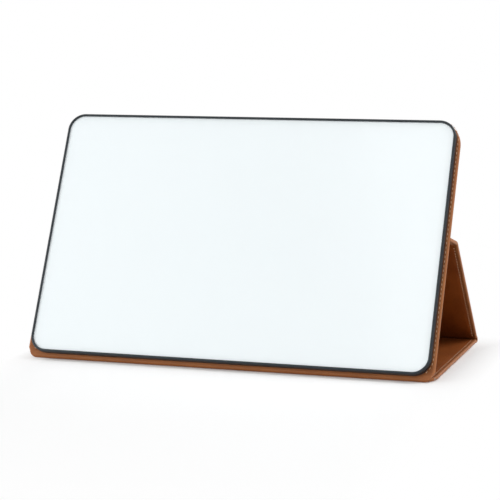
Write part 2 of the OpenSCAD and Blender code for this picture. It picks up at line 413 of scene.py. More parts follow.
@dataclass
class MeshMaker:
    """Collects rows of points and faces, and makes one object of them."""

    name: str
    points: list[np.ndarray] = field(default_factory=list)
    grain: list[np.ndarray] = field(default_factory=list)
    # How much each point lightens: partly wear, partly a painted highlight.
    wear_and_sheen: list[np.ndarray] = field(default_factory=list)
    faces: list[tuple[int, ...]] = field(default_factory=list)
    marks: list[int] = field(default_factory=list)
    count: int = 0

    def add_row(
        self,
        place: LeafFrame,
        local: list[Triple] | list[Vector],
        wear_and_sheen: list[float] | None = None,
        grain: list[Triple] | None = None,
    ) -> list[int]:
        """Adds a row of points on a leaf.

        Args:
            place: The leaf's frame.
            local: The points in that frame, in millimetres.
            wear_and_sheen: How much the leather lightens at each point, 0 to 1: partly
                wear and stretch, partly a painted highlight on lit edges.
            grain: Where each point lies on the flat leather, if not at `local`.

        Returns:
            The numbers of the new points.
        """
        rows = np.array([tuple(point) for point in local], float)
        self.points.append(place.place(rows))
        self.grain.append(rows if grain is None else np.array(grain, float))
        self.wear_and_sheen.append(np.zeros(len(rows)) if wear_and_sheen is None else np.array(wear_and_sheen, float))
        first = self.count
        self.count += len(rows)
        return list(range(first, self.count))

    def bridge(
        self,
        one: list[int],
        two: list[int],
        marks: list[int] | int = 0,
        closed: bool = True,
    ) -> None:
        """Joins two rows of the same length with quads.

        Args:
            one: Numbers of the first row's points.
            two: Numbers of the second row's points.
            marks: Material index of each quad, or one for all.
            closed: Whether the rows are loops.
        """
        n = len(one)
        for i in range(n if closed else n - 1):
            j = (i + 1) % n
            self.faces.append((one[i], one[j], two[j], two[i]))
            self.marks.append(marks if isinstance(marks, int) else marks[i])

    def fill(self, loop: list[int], mark: int = 0) -> None:
        """Closes a loop with one flat face."""
        self.faces.append(tuple(loop))
        self.marks.append(mark)

    def loft(
        self, rows: list[list[int]], marks: list[int] | int = 0, closed: bool = True
    ) -> None:
        """Joins each row to the next with quads.

        Args:
            rows: The rows, as numbers of their points.
            marks: Material index of each quad between two rows, or one for all.
            closed: Whether the rows are loops.
        """
        for one, two in zip(rows, rows[1:]):
            self.bridge(one, two, marks, closed)

    def cap(self, rows: list[list[int]]) -> None:
        """Fills the first and the last of a run of loops."""
        self.fill(rows[0])
        self.fill(rows[-1])

    def fill_sides(self, rows: list[list[int]]) -> None:
        """Fills the two faces that the first and last points of open rows go round."""
        self.fill([row[0] for row in rows])
        self.fill([row[-1] for row in rows])

    def build(
        self, finishes: list[bpy.types.Material], sharp: float = 40.0
    ) -> bpy.types.Object:
        """Makes the object.

        Args:
            finishes: Its materials, in the order of the marks.
            sharp: Edges that turn by more than this many degrees stay sharp.

        Returns:
            The new object, linked to the scene.
        """
        mesh = bpy.data.meshes.new(self.name)
        rows = np.vstack(self.points) * MM
        mesh.from_pydata(rows.tolist(), [], self.faces)
        mesh.polygons.foreach_set("material_index", self.marks)
        work = bmesh.new()
        work.from_mesh(mesh)
        bmesh.ops.recalc_face_normals(work, faces=work.faces)
        work.to_mesh(mesh)
        work.free()
        grain = mesh.attributes.new(GRAIN, "FLOAT_VECTOR", "POINT")
        flat = np.vstack(self.grain).astype(np.float32)
        grain.data.foreach_set("vector", flat.ravel())
        # Stores the lightening, partly wear and partly painted highlight, for the
        # leather's colour.
        wear_and_sheen = mesh.attributes.new(WEAR_AND_SHEEN, "FLOAT", "POINT")
        wear_and_sheen.data.foreach_set("value", np.concatenate(self.wear_and_sheen).astype(np.float32))
        mesh.polygons.foreach_set("use_smooth", [True] * len(mesh.polygons))
        mesh.set_sharp_from_angle(angle=math.radians(sharp))
        for finish in finishes:
            mesh.materials.append(finish)
        made = bpy.data.objects.new(self.name, mesh)
        bpy.context.scene.collection.objects.link(made)
        return made


def settle(
    piece: bpy.types.Object, body: Body, slot: Slot, *nodes: str
) -> bpy.types.Object:
    """Puts a finished piece on its body in place of the solids that it stands for.

    Args:
        piece: The piece.
        body: The body that it rides on.
        slot: The record's slot for the piece; not used.
        *nodes: The solids that it stands for.

    Returns:
        The same piece.
    """
    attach(piece, body.value)
    if nodes:
        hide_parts(*nodes)
    LOG.info("%s rides on %s", piece.name, body.value)
    return piece


# ---------------------------------------------------------------- finishes


class Bench:
    """A new material's node tree, with short ways to add and join nodes."""

    def __init__(self, name: str) -> None:
        """Starts an empty material with one surface shader.

        Args:
            name: The material's name.
        """
        self.material = bpy.data.materials.new(name)
        self.material.use_nodes = True
        self.tree = self.material.node_tree
        self.shader = self.tree.nodes["Principled BSDF"]

    def node(self, kind: str, **settings: object) -> bpy.types.Node:
        """Adds a node and sets its properties or unlinked inputs.

        Args:
            kind: The node's type name.
            **settings: Properties, or inputs with _ for a space, by their names.

        Returns:
            The new node.
        """
        made = self.tree.nodes.new(kind)
        for key, value in settings.items():
            if hasattr(made, key):
                setattr(made, key, value)
            else:
                made.inputs[key.replace("_", " ")].default_value = value
        return made

    def join(self, source: bpy.types.NodeSocket, target: bpy.types.NodeSocket) -> None:
        """Links one socket to another."""
        self.tree.links.new(source, target)

    def set(self, **values: object) -> None:
        """Sets plain values on the shader's own sockets."""
        for key, value in values.items():
            self.shader.inputs[key.replace("_", " ")].default_value = value

    def grain_coordinates(self) -> bpy.types.NodeSocket:
        """Place on the flat leather, in millimetres, which bends with the leather."""
        return self.node("ShaderNodeAttribute", attribute_name=GRAIN).outputs["Vector"]

    def solid_coordinates(self) -> bpy.types.NodeSocket:
        """Place in the solid, in millimetres."""
        place = self.node("ShaderNodeTexCoord").outputs["Object"]
        scale = self.node("ShaderNodeVectorMath", operation="SCALE")
        scale.inputs["Scale"].default_value = 1 / MM
        self.join(place, scale.inputs[0])
        return scale.outputs["Vector"]

    def stretched(
        self, place: bpy.types.NodeSocket, scale: Triple
    ) -> bpy.types.NodeSocket:
        """Coordinates stretched by a different factor along each axis."""
        node = self.node("ShaderNodeMapping")
        node.inputs["Scale"].default_value = scale
        self.join(place, node.inputs["Vector"])
        return node.outputs["Vector"]

    def noise(
        self, place: bpy.types.NodeSocket, size: float, detail: float = 2.0
    ) -> bpy.types.NodeSocket:
        """Soft noise with features of about `size` millimetres."""
        node = self.node("ShaderNodeTexNoise", Scale=1 / size, Detail=detail)
        self.join(place, node.inputs["Vector"])
        return node.outputs["Fac"]

    def cells(self, place: bpy.types.NodeSocket, size: float) -> bpy.types.NodeSocket:
        """Distance to the nearest of many points about `size` millimetres apart."""
        node = self.node("ShaderNodeTexVoronoi", feature="SMOOTH_F1", Scale=1 / size)
        self.join(place, node.inputs["Vector"])
        return node.outputs["Distance"]

    def spread(
        self,
        value: bpy.types.NodeSocket,
        low: float,
        high: float,
        into: Pair = (0.0, 1.0),
    ) -> bpy.types.NodeSocket:
        """Maps a value from low..high to another range, clamped."""
        node = self.node("ShaderNodeMapRange")
        for index, number in enumerate((low, high, *into)):
            node.inputs[index + 1].default_value = number
        self.join(value, node.inputs["Value"])
        return node.outputs["Result"]

    def maths(
        self, operation: str, one: bpy.types.NodeSocket, two: object
    ) -> bpy.types.NodeSocket:
        """One step of arithmetic on a socket and a socket or number."""
        node = self.node("ShaderNodeMath", operation=operation)
        self.join(one, node.inputs[0])
        if isinstance(two, (int, float)):
            node.inputs[1].default_value = two
        else:
            self.join(two, node.inputs[1])
        return node.outputs[0]

    def blend_colours(
        self, amount: bpy.types.NodeSocket, one: object, two: object
    ) -> bpy.types.NodeSocket:
        """Mixes two colours, each a triple or a socket, by an amount from 0 to 1."""
        node = self.node("ShaderNodeMix", data_type="RGBA")
        self.join(amount, node.inputs["Factor"])
        for socket, colour in ((node.inputs[6], one), (node.inputs[7], two)):
            if isinstance(colour, tuple):
                socket.default_value = (*colour, 1.0)
            else:
                self.join(colour, socket)
        return node.outputs[2]

    def colour(self, socket: bpy.types.NodeSocket) -> None:
        """Sends a colour to the shader."""
        self.join(socket, self.shader.inputs["Base Color"])

    def roughness(self, socket: bpy.types.NodeSocket) -> None:
        """Sends a roughness to the shader."""
        self.join(socket, self.shader.inputs["Roughness"])

    def bump(self, *layers: tuple[bpy.types.NodeSocket, float]) -> None:
        """Raises the surface by one or more heights.

        Args:
            *layers: Each a height from 0 to 1 and its full depth in millimetres.
        """
        normal = None
        for height, depth in layers:
            node = self.node("ShaderNodeBump", Strength=1.0, Distance=depth * MM)
            self.join(height, node.inputs["Height"])
            if normal is not None:
                self.join(normal, node.inputs["Normal"])
            normal = node.outputs["Normal"]
        self.join(normal, self.shader.inputs["Normal"])


def shaded(colour: Triple, factor: float) -> Triple:
    """A colour made darker or lighter by a factor, up to full white."""
    return tuple(min(1.0, factor * c) for c in colour)


@dataclass(frozen=True)
class Finish:
    """A named finish with a main colour, whose sizes and depths are in millimetres."""

    name: str
    tint: Triple

    def dress(self, b: Bench) -> None:
        """Builds the finish on its bench."""
        raise NotImplementedError

    def material(self) -> bpy.types.Material:
        """Makes the material."""
        bench = Bench(self.name)
        self.dress(bench)
        return bench.material


@dataclass(frozen=True)
class LeatherFinish(Finish):
    """Smooth brown leather with fine grain, darker pores and lighter edges, partly worn
    and partly a painted highlight.
    """

    name: str = "brown_leather"
    tint: Triple = (0.295, 0.100, 0.026)
    deep: Triple = (0.225, 0.071, 0.0175)
    # Lighter edge colour: partly wear and stretch, partly a painted highlight on edges
    # that catch the light.
    wear_and_sheen_tint: Triple = (0.44, 0.168, 0.062)
    shine: float = 0.25
    roughness: float = 0.5
    cloud_size: float = 30.0
    crumple_size: float = 9.0
    crumple_depth: float = 0.10
    fine_size: float = 1.6
    fine_depth: float = 0.05
    pore_size: float = 0.75
    pore_depth: float = 0.035
    pore_shade: float = 0.72
    wrinkle: float = 0.0
    wrinkle_size: float = 1.1
    wrinkle_run: Triple = (0.12, 1.0, 1.0)

    def dress(self, b: Bench) -> None:
        """Builds the finish on its bench."""
        place = b.grain_coordinates()
        cloud = b.spread(b.noise(place, self.cloud_size, 3.0), 0.32, 0.68)
        fine = b.noise(place, self.fine_size, 4.0)
        pores = b.spread(b.cells(place, self.pore_size), 0.15, 0.55)
        colour = b.blend_colours(cloud, self.deep, self.tint)
        dark = shaded(self.deep, self.pore_shade)
        colour = b.blend_colours(b.spread(pores, 0.75, 1.0, (0.0, 0.35)), colour, dark)
        # Lightens the edges by the per-point amount, partly for wear and partly as a
        # painted highlight.
        wear_and_sheen = b.node("ShaderNodeAttribute", attribute_name=WEAR_AND_SHEEN).outputs["Fac"]
        patchy_wear_and_sheen = b.maths("MULTIPLY", wear_and_sheen, b.spread(fine, 0.3, 0.7, (0.65, 1.0)))
        b.colour(b.blend_colours(patchy_wear_and_sheen, colour, self.wear_and_sheen_tint))
        dullness = (self.roughness - 0.07, self.roughness + 0.09)
        b.roughness(b.spread(fine, 0.25, 0.75, dullness))
        b.set(Specular_IOR_Level=self.shine)
        crumple = b.noise(place, self.crumple_size, 2.0)
        layers = [
            (crumple, self.crumple_depth),
            (pores, self.pore_depth),
            (fine, self.fine_depth),
        ]
        if self.wrinkle:
            along = b.stretched(place, self.wrinkle_run)
            layers.append((b.noise(along, self.wrinkle_size, 3.0), self.wrinkle))
        b.bump(*layers)


@dataclass(frozen=True)
class ThreadFinish(Finish):
    """Twisted sewing thread, a little lighter than the leather."""

    name: str = "tan_thread"
    tint: Triple = (0.76, 0.50, 0.33)
    deep: Triple = (0.50, 0.30, 0.18)
    twists: float = 2.2
    wobble: float = 1.5
    fuzz_size: float = 0.6
    strand_depth: float = 0.05

    def dress(self, b: Bench) -> None:
        """Builds the finish on its bench."""
        place = b.grain_coordinates()
        twist = b.node(
            "ShaderNodeTexWave",
            bands_direction="DIAGONAL",
            Scale=self.twists,
            Distortion=self.wobble,
        )
        b.join(place, twist.inputs["Vector"])
        strand = twist.outputs["Fac"]
        b.colour(b.blend_colours(strand, self.deep, self.tint))
        b.roughness(b.spread(b.noise(place, self.fuzz_size), 0.3, 0.7, (0.55, 0.75)))
        b.bump((strand, self.strand_depth))


@dataclass(frozen=True)
class HoleShadeFinish(Finish):
    """The bottom of a needle hole, painted dark as shade."""

    name: str = "needle_hole_painted_shade"
    tint: Triple = (0.035, 0.012, 0.005)

    def dress(self, b: Bench) -> None:
        """Builds the finish on its bench."""
        speck = b.noise(b.grain_coordinates(), 0.4, 2.0)
        b.colour(b.blend_colours(speck, self.tint, shaded(self.tint, 1.6)))
        b.set(Roughness=0.85, Specular_IOR_Level=0.2)


@dataclass(frozen=True)
class FrameFinish(Finish):
    """Satin dark grey edge frame with a very fine texture."""

    name: str = "dark_grey_satin"
    tint: Triple = (0.013, 0.018, 0.022)
    light: Triple = (0.019, 0.025, 0.030)
    shine: float = 0.28
    cloud_size: float = 14.0
    fine_size: float = 0.35
    fine_depth: float = 0.012
    wave_size: float = 60.0
    wave_depth: float = 0.05

    def dress(self, b: Bench) -> None:
        """Builds the finish on its bench."""
        place = b.solid_coordinates()
        fine = b.noise(place, self.fine_size, 3.0)
        cloud = b.noise(place, self.cloud_size, 2.0)
        b.colour(b.blend_colours(cloud, self.tint, self.light))
        b.roughness(b.spread(fine, 0.3, 0.7, (0.33, 0.45)))
        b.set(Specular_IOR_Level=self.shine)
        wave = b.noise(place, self.wave_size, 1.0)
        b.bump((fine, self.fine_depth), (wave, self.wave_depth))


@dataclass(frozen=True)
class EnamelFinish(Finish):
    """Glossy white enamel with a faint cool tint and the slightest waviness."""

    name: str = "white_enamel"
    tint: Triple = (0.828, 0.884, 0.901)
    light: Triple = (0.836, 0.890, 0.906)
    cloud_size: float = 120.0
    gloss_size: float = 40.0
    wave_size: float = 22.0
    wave_depth: float = 0.008

    def dress(self, b: Bench) -> None:
        """Builds the finish on its bench."""
        place = b.solid_coordinates()
        cloud = b.noise(place, self.cloud_size, 2.0)
        b.colour(b.blend_colours(cloud, self.tint, self.light))
        gloss = b.noise(place, self.gloss_size, 3.0)
        b.roughness(b.spread(gloss, 0.3, 0.7, (0.16, 0.21)))
        b.set(Specular_IOR_Level=0.5, Coat_Weight=0.25, Coat_Roughness=0.1)
        b.bump((b.noise(place, self.wave_size, 1.0), self.wave_depth))


@dataclass(frozen=True)
class PressedBoardFinish(Finish):
    """Pressed paper or fibre board, with flecks and short fibres."""

    name: str
    tint: Triple
    fleck: Triple
    fibre_run: Triple = (0.3, 1.0, 1.0)
    fibre_size: float = 1.2
    fibre_depth: float = 0.12
    fleck_size: float = 2.2

    def dress(self, b: Bench) -> None:
        """Builds the finish on its bench."""
        place = b.solid_coordinates()
        fibres = b.noise(b.stretched(place, self.fibre_run), self.fibre_size, 4.0)
        flecks = b.spread(b.cells(place, self.fleck_size), 0.05, 0.3)
        colour = b.blend_colours(flecks, self.fleck, self.tint)
        light = b.spread(fibres, 0.5, 0.8)
        b.colour(b.blend_colours(light, colour, shaded(self.tint, 1.25)))
        b.set(Roughness=0.9, Specular_IOR_Level=0.25)
        b.bump((fibres, self.fibre_depth))


@dataclass(frozen=True)
class MetalFinish(Finish):
    """Plain, plated or brushed sheet and bar metal."""

    name: str
    tint: Triple
    roughness: float
    brush_run: Triple = (0.02, 1.0, 1.0)
    brush_size: float = 0.5
    brush_depth: float = 0.01
    cloud_size: float = 8.0

    def dress(self, b: Bench) -> None:
        """Builds the finish on its bench."""
        place = b.solid_coordinates()
        lines = b.noise(b.stretched(place, self.brush_run), self.brush_size, 3.0)
        cloud = b.noise(place, self.cloud_size, 3.0)
        b.colour(b.blend_colours(cloud, shaded(self.tint, 0.82), self.tint))
        dullness = (self.roughness - 0.06, self.roughness + 0.1)
        b.roughness(b.spread(lines, 0.3, 0.7, dullness))
        b.set(Metallic=1.0)
        b.bump((lines, self.brush_depth))


@dataclass(frozen=True)
class FoamFinish(Finish):
    """White foam of an adhesive pad, with small closed bubbles."""

    name: str = "adhesive_foam"
    tint: Triple = (0.78, 0.78, 0.75)
    shade: Triple = (0.60, 0.59, 0.55)
    bubble_size: float = 0.5
    bubble_depth: float = 0.08

    def dress(self, b: Bench) -> None:
        """Builds the finish on its bench."""
        cells = b.cells(b.solid_coordinates(), self.bubble_size)
        bubbles = b.spread(cells, 0.1, 0.6)
        b.colour(b.blend_colours(bubbles, self.tint, self.shade))
        b.set(Roughness=0.8, Specular_IOR_Level=0.3)
        b.bump((bubbles, self.bubble_depth))


@dataclass
class Finishes:
    """All the finishes, each made once."""

    leather: bpy.types.Material = field(init=False)
    crease_leather: bpy.types.Material = field(init=False)
    lining: bpy.types.Material = field(init=False)
    crease_lining: bpy.types.Material = field(init=False)
    strut_lining: bpy.types.Material = field(init=False)
    thread: bpy.types.Material = field(init=False)
    hole_shade: bpy.types.Material = field(init=False)
    frame: bpy.types.Material = field(init=False)
    enamel: bpy.types.Material = field(init=False)

    def __post_init__(self) -> None:
        """Makes the finishes that several pieces share."""
        inside = {
            "tint": (0.275, 0.078, 0.017),
            "deep": (0.218, 0.058, 0.012),
            "shine": 0.14,
        }
        self.leather = LeatherFinish().material()
        self.crease_leather = LeatherFinish("crease_leather", wrinkle=0.10).material()
        self.lining = LeatherFinish("lining_leather", **inside).material()
        self.crease_lining = LeatherFinish(
            "crease_lining", wrinkle=0.16, **inside
        ).material()
        # A darker, redder copy of the lining for the strut: painted shade and painted
        # orange light bounced from the base.
        self.strut_lining = LeatherFinish(
            "strut_lining_painted_shade",
            tint=(0.262, 0.064, 0.0105),
            deep=(0.207, 0.047, 0.0075),
            shine=0.1,
        ).material()
        self.thread = ThreadFinish().material()
        self.hole_shade = HoleShadeFinish().material()
        self.frame = FrameFinish().material()
        self.enamel = EnamelFinish().material()


# ---------------------------------------------------------------- leather leaves


@dataclass(frozen=True)
class LeafSection:
    """Section across a leaf: x to the right, h up from its outer face.

    The outer leather wraps the edge and is turned over onto the inner face. A groove
    parts it from the lining, which has a shallow channel under its stitches. The
    lightening goes from 0 on the flat faces to 1 on the brink of the turned edge; it is
    partly wear and partly a painted highlight on the edge.
    """

    sizes: EaselSizes
    reach: float = 9.0
    plain_from: float = 3.2
    outer_round: float = 1.8
    outer_ease: float = 0.3
    inner_round: float = 1.1
    inner_share: float = 0.45
    inner_ease: float = 0.5
    least_side: float = 0.05
    turned_round: float = 0.4
    turned_sag: Triple = (0.01, 0.03, 0.05)
    lining_round: float = 0.3
    tuck: float = 0.8
    tuck_t: float = 0.02
    floor_lift: float = 0.03
    least_groove: float = 0.12
    channel_w: float = 0.96
    channel_d: float = 0.13
    channelled: bool = True
    round_points: int = 8
    small_points: int = 5

    @property
    def half_w(self) -> float:
        """Half the leaf's width."""
        return self.sizes.leaf_w / 2

    def edge(self, thick: float) -> HalfSection:
        """The outer leather round the edge.

        Args:
            thick: Thickness of the leaf there.

        Returns:
            Points from the outer face round the edge to the groove's outer wall.
        """
        ri = min(self.inner_round, self.inner_share * thick)
        ro = min(self.outer_round, thick - ri - self.least_side)
        far, rt = self.sizes.turned_w, self.turned_round
        after, before, brink = self.turned_sag
        # The third value of each point is how much it lightens: wear on the turned edge
        # and a painted highlight on its roundings.
        low = [
            (self.reach, 0.0, 0.0),
            (self.plain_from, 0.0, 0.0),
            (ro + self.outer_ease, 0.0, 0.1),
        ]
        turn = [
            (ro - ro * math.sin(a), ro - ro * math.cos(a), 0.3 + 0.6 * math.sin(a))
            for a in quarter(self.round_points)
        ]
        over = [
            (ri - ri * math.cos(a), thick - ri + ri * math.sin(a), 1.0 - 0.3 * a)
            for a in quarter(self.round_points)
        ]
        flat = [
            (ri + self.inner_ease, thick - after, 0.3),
            (far - rt - self.outer_ease, thick - before, 0.2),
        ]
        inside = [
            (far - rt + rt * math.sin(a), thick - brink - rt + rt * math.cos(a), 0.35)
            for a in quarter(self.small_points)
        ]
        return low + turn + over + flat + inside

    def lining_top(self, thick: float) -> HalfSection:
        """The lining's edge and face, from the groove's floor inward."""
        r, inset = self.lining_round, self.sizes.lining_inset
        out = [
            (inset + r - r * math.cos(a), thick - r + r * math.sin(a), 0.3)
            for a in quarter(self.small_points)
        ]
        if self.channelled:
            middle, half = self.sizes.stitch_inset, self.channel_w / 2
            for step in (-1.0, -0.5, 0.0, 0.5, 1.0):
                dip = self.channel_d * (0.5 + 0.5 * math.cos(math.pi * step))
                out.append((middle + step * half, thick - dip, 0.0))
        return out + [(self.reach, thick, 0.0)]

    def floor(self, thick: float) -> float:
        """Height of the groove's floor."""
        return thick - self.sizes.lining_t + self.floor_lift

    def whole(self, thick: float, openness: float) -> tuple[HalfSection, list[int]]:
        """Half of the section of leather and lining together.

        Args:
            thick: Thickness there.
            openness: Depth of the groove, from 0 where it is shut to 1.

        Returns:
            Its points, and for each a material mark: 0 for the outer leather and 1 for
            the lining.
        """
        edge, top = self.edge(thick), self.lining_top(thick)
        depth = thick - self.floor(thick)
        floor = thick - max(self.least_groove, openness * depth)
        if openness < 1.0:
            edge = [
                (i, max(h, floor) if h > thick / 2 and i > self.inner_round else h, r)
                for i, h, r in edge
            ]
            top = [(i, max(h, floor), r) for i, h, r in top]
        sides = (self.sizes.turned_w, self.sizes.lining_inset)
        groove = [(side, floor, 0.0) for side in sides]
        return edge + groove + top, [0] * (len(edge) + 1) + [1] * (len(top) + 1)

    def wrap(self, thick: float) -> HalfSection:
        """Half of the section of the outer leather alone, with its turned edge."""
        floor, skin = self.floor(thick), self.sizes.skin_t
        far = self.sizes.lining_inset + self.tuck
        return self.edge(thick) + [
            (self.sizes.turned_w, floor, 0.0),
            (far, floor, 0.0),
            (far, floor - self.tuck_t, 0.0),
            (skin, floor - self.tuck_t, 0.0),
            (skin, skin, 0.0),
            (self.reach, skin, 0.0),
        ]

    def lining(self, thick: float) -> HalfSection:
        """Half of the section of the lining alone."""
        low = thick - self.sizes.lining_t + 2 * self.floor_lift
        under = [(self.reach, low, 0.0), (self.sizes.lining_inset, low, 0.0)]
        return under + self.lining_top(thick)

    def mirrored(self, half: HalfSection) -> list[Triple]:
        """A full loop of x, height and lightening, which is partly wear and partly
        painted highlight, from a right half.

        Args:
            half: The right half's points.

        Returns:
            The right half and its mirror image, as one closed loop.
        """
        right = [(self.half_w - inset, h, wear_and_sheen) for inset, h, wear_and_sheen in half]
        return right + [(-x, h, wear_and_sheen) for x, h, wear_and_sheen in reversed(right)]


@dataclass(frozen=True)
class StitchStyle:
    """Size of the stitches in one line, and of the needle holes between them."""

    pitch: float = 4.5
    length: float = 2.7
    half_w: float = 0.4
    height: float = 0.2
    slant: float = 7.0
    slant_spread: float = 2.0
    length_spread: float = 0.03
    buried: float = 0.05
    arch: float = 0.10
    stations: tuple[float, ...] = (-1.0, -0.86, -0.5, 0.0, 0.5, 0.86, 1.0)
    swell_power: float = 3.2
    tip_w: float = 0.45
    tip_h: float = 0.4
    hole_half_w: float = 0.26
    hole_half_l: float = 0.3
    hole_depth: float = 0.05
    hole_rim: float = 0.012
    ring_points: int = 8


@dataclass
class StitchRun:
    """A line of separate stitches with a needle hole at each end of every stitch."""

    name: str
    finishes: Finishes
    style: StitchStyle
    seed: int
    maker: MeshMaker = field(init=False)
    chance: random.Random = field(init=False)

    def __post_init__(self) -> None:
        """Starts the mesh and the seeded randomness."""
        self.maker = MeshMaker(self.name)
        self.chance = random.Random(self.seed)

    def sew(
        self, path: list[Triple], up: Triple, place: LeafFrame, sunk: float = 0.0
    ) -> None:
        """Sews along a path on a leaf.

        Args:
            path: Points on the leaf, in the leaf's frame.
            up: Direction out of the leather there, in the leaf's frame.
            place: The leaf's frame.
            sunk: How far the leather lies under the path's points.
        """
        rows = np.array(path, float)
        steps = np.linalg.norm(np.diff(rows, axis=0), axis=1)
        along = np.concatenate([[0.0], np.cumsum(steps)])
        n = max(1, round(along[-1] / self.style.pitch))
        pitch = along[-1] / n
        out, near = Vector(up), 0.1
        for i in range(n):
            middle = (i + 0.5) * pitch
            before, at, after = (
                Vector([float(np.interp(spot, along, rows[:, k])) for k in range(3)])
                for spot in (middle - near, middle, middle + near)
            )
            run = (after - before).normalized()
            self._stitch(at - out * sunk, run, out, place)
            self._hole(at + run * (pitch / 2) - out * sunk, run, out, place)

    def _ring(self) -> list[Pair]:
        """Cosines and sines round a ring."""
        turns = np.linspace(0.0, 2 * math.pi, self.style.ring_points, endpoint=False)
        return [(math.cos(a), math.sin(a)) for a in turns]

    def _stitch(self, at: Vector, run: Vector, up: Vector, place: LeafFrame) -> None:
        """Adds one stitch, which swells and rises in its middle.

        Args:
            at: Its middle, on the leather.
            run: Direction of the line.
            up: Direction out of the leather.
            place: The leaf's frame.
        """
        style = self.style
        spread = self.chance.uniform(-style.slant_spread, style.slant_spread)
        turn = math.radians(style.slant + spread)
        lie = run * math.cos(turn) + up.cross(run) * math.sin(turn)
        wide = up.cross(lie)
        low, high = 1 - style.length_spread, 1 + style.length_spread
        half = style.length * self.chance.uniform(low, high) / 2
        loops: list[list[int]] = []
        for u in style.stations:
            swell = max(0.0, 1.0 - abs(u) ** style.swell_power)
            centre = at + lie * (u * half) + up * (style.arch * swell - style.buried)
            w = style.half_w * (style.tip_w + (1 - style.tip_w) * swell)
            h = style.height * (style.tip_h + (1 - style.tip_h) * swell)
            ring = [centre + wide * (w * c) + up * (h * s) for c, s in self._ring()]
            loops.append(self.maker.add_row(place, ring))
        self.maker.loft(loops)
        self.maker.cap(loops)

    def _hole(self, at: Vector, run: Vector, up: Vector, place: LeafFrame) -> None:
        """Adds the hole after a stitch: a dark disc, painted as shade.

        Args:
            at: Its middle, on the leather.
            run: Direction of the line.
            up: Direction out of the leather.
            place: The leaf's frame.
        """
        style, side = self.style, up.cross(run)
        spot = at + up * style.hole_rim
        rim = [
            spot + side * (style.hole_half_w * c) + run * (style.hole_half_l * s)
            for c, s in self._ring()
        ]
        bottom = [point - up * style.hole_depth for point in rim]
        loops = [self.maker.add_row(place, loop) for loop in (rim, bottom)]
        self.maker.loft(loops, 1)
        for loop in loops:
            self.maker.fill(loop, 1)

    def finish(self, body: Body, *nodes: str) -> bpy.types.Object:
        """Builds the line and puts it on its body."""
        made = self.maker.build([self.finishes.thread, self.finishes.hole_shade])
        return settle(made, body, Slot.THREAD, *nodes)


@dataclass
class SubAssembly:
    """The easel's sizes and the finishes, which every sub-assembly is given."""

    sizes: EaselSizes
    finishes: Finishes


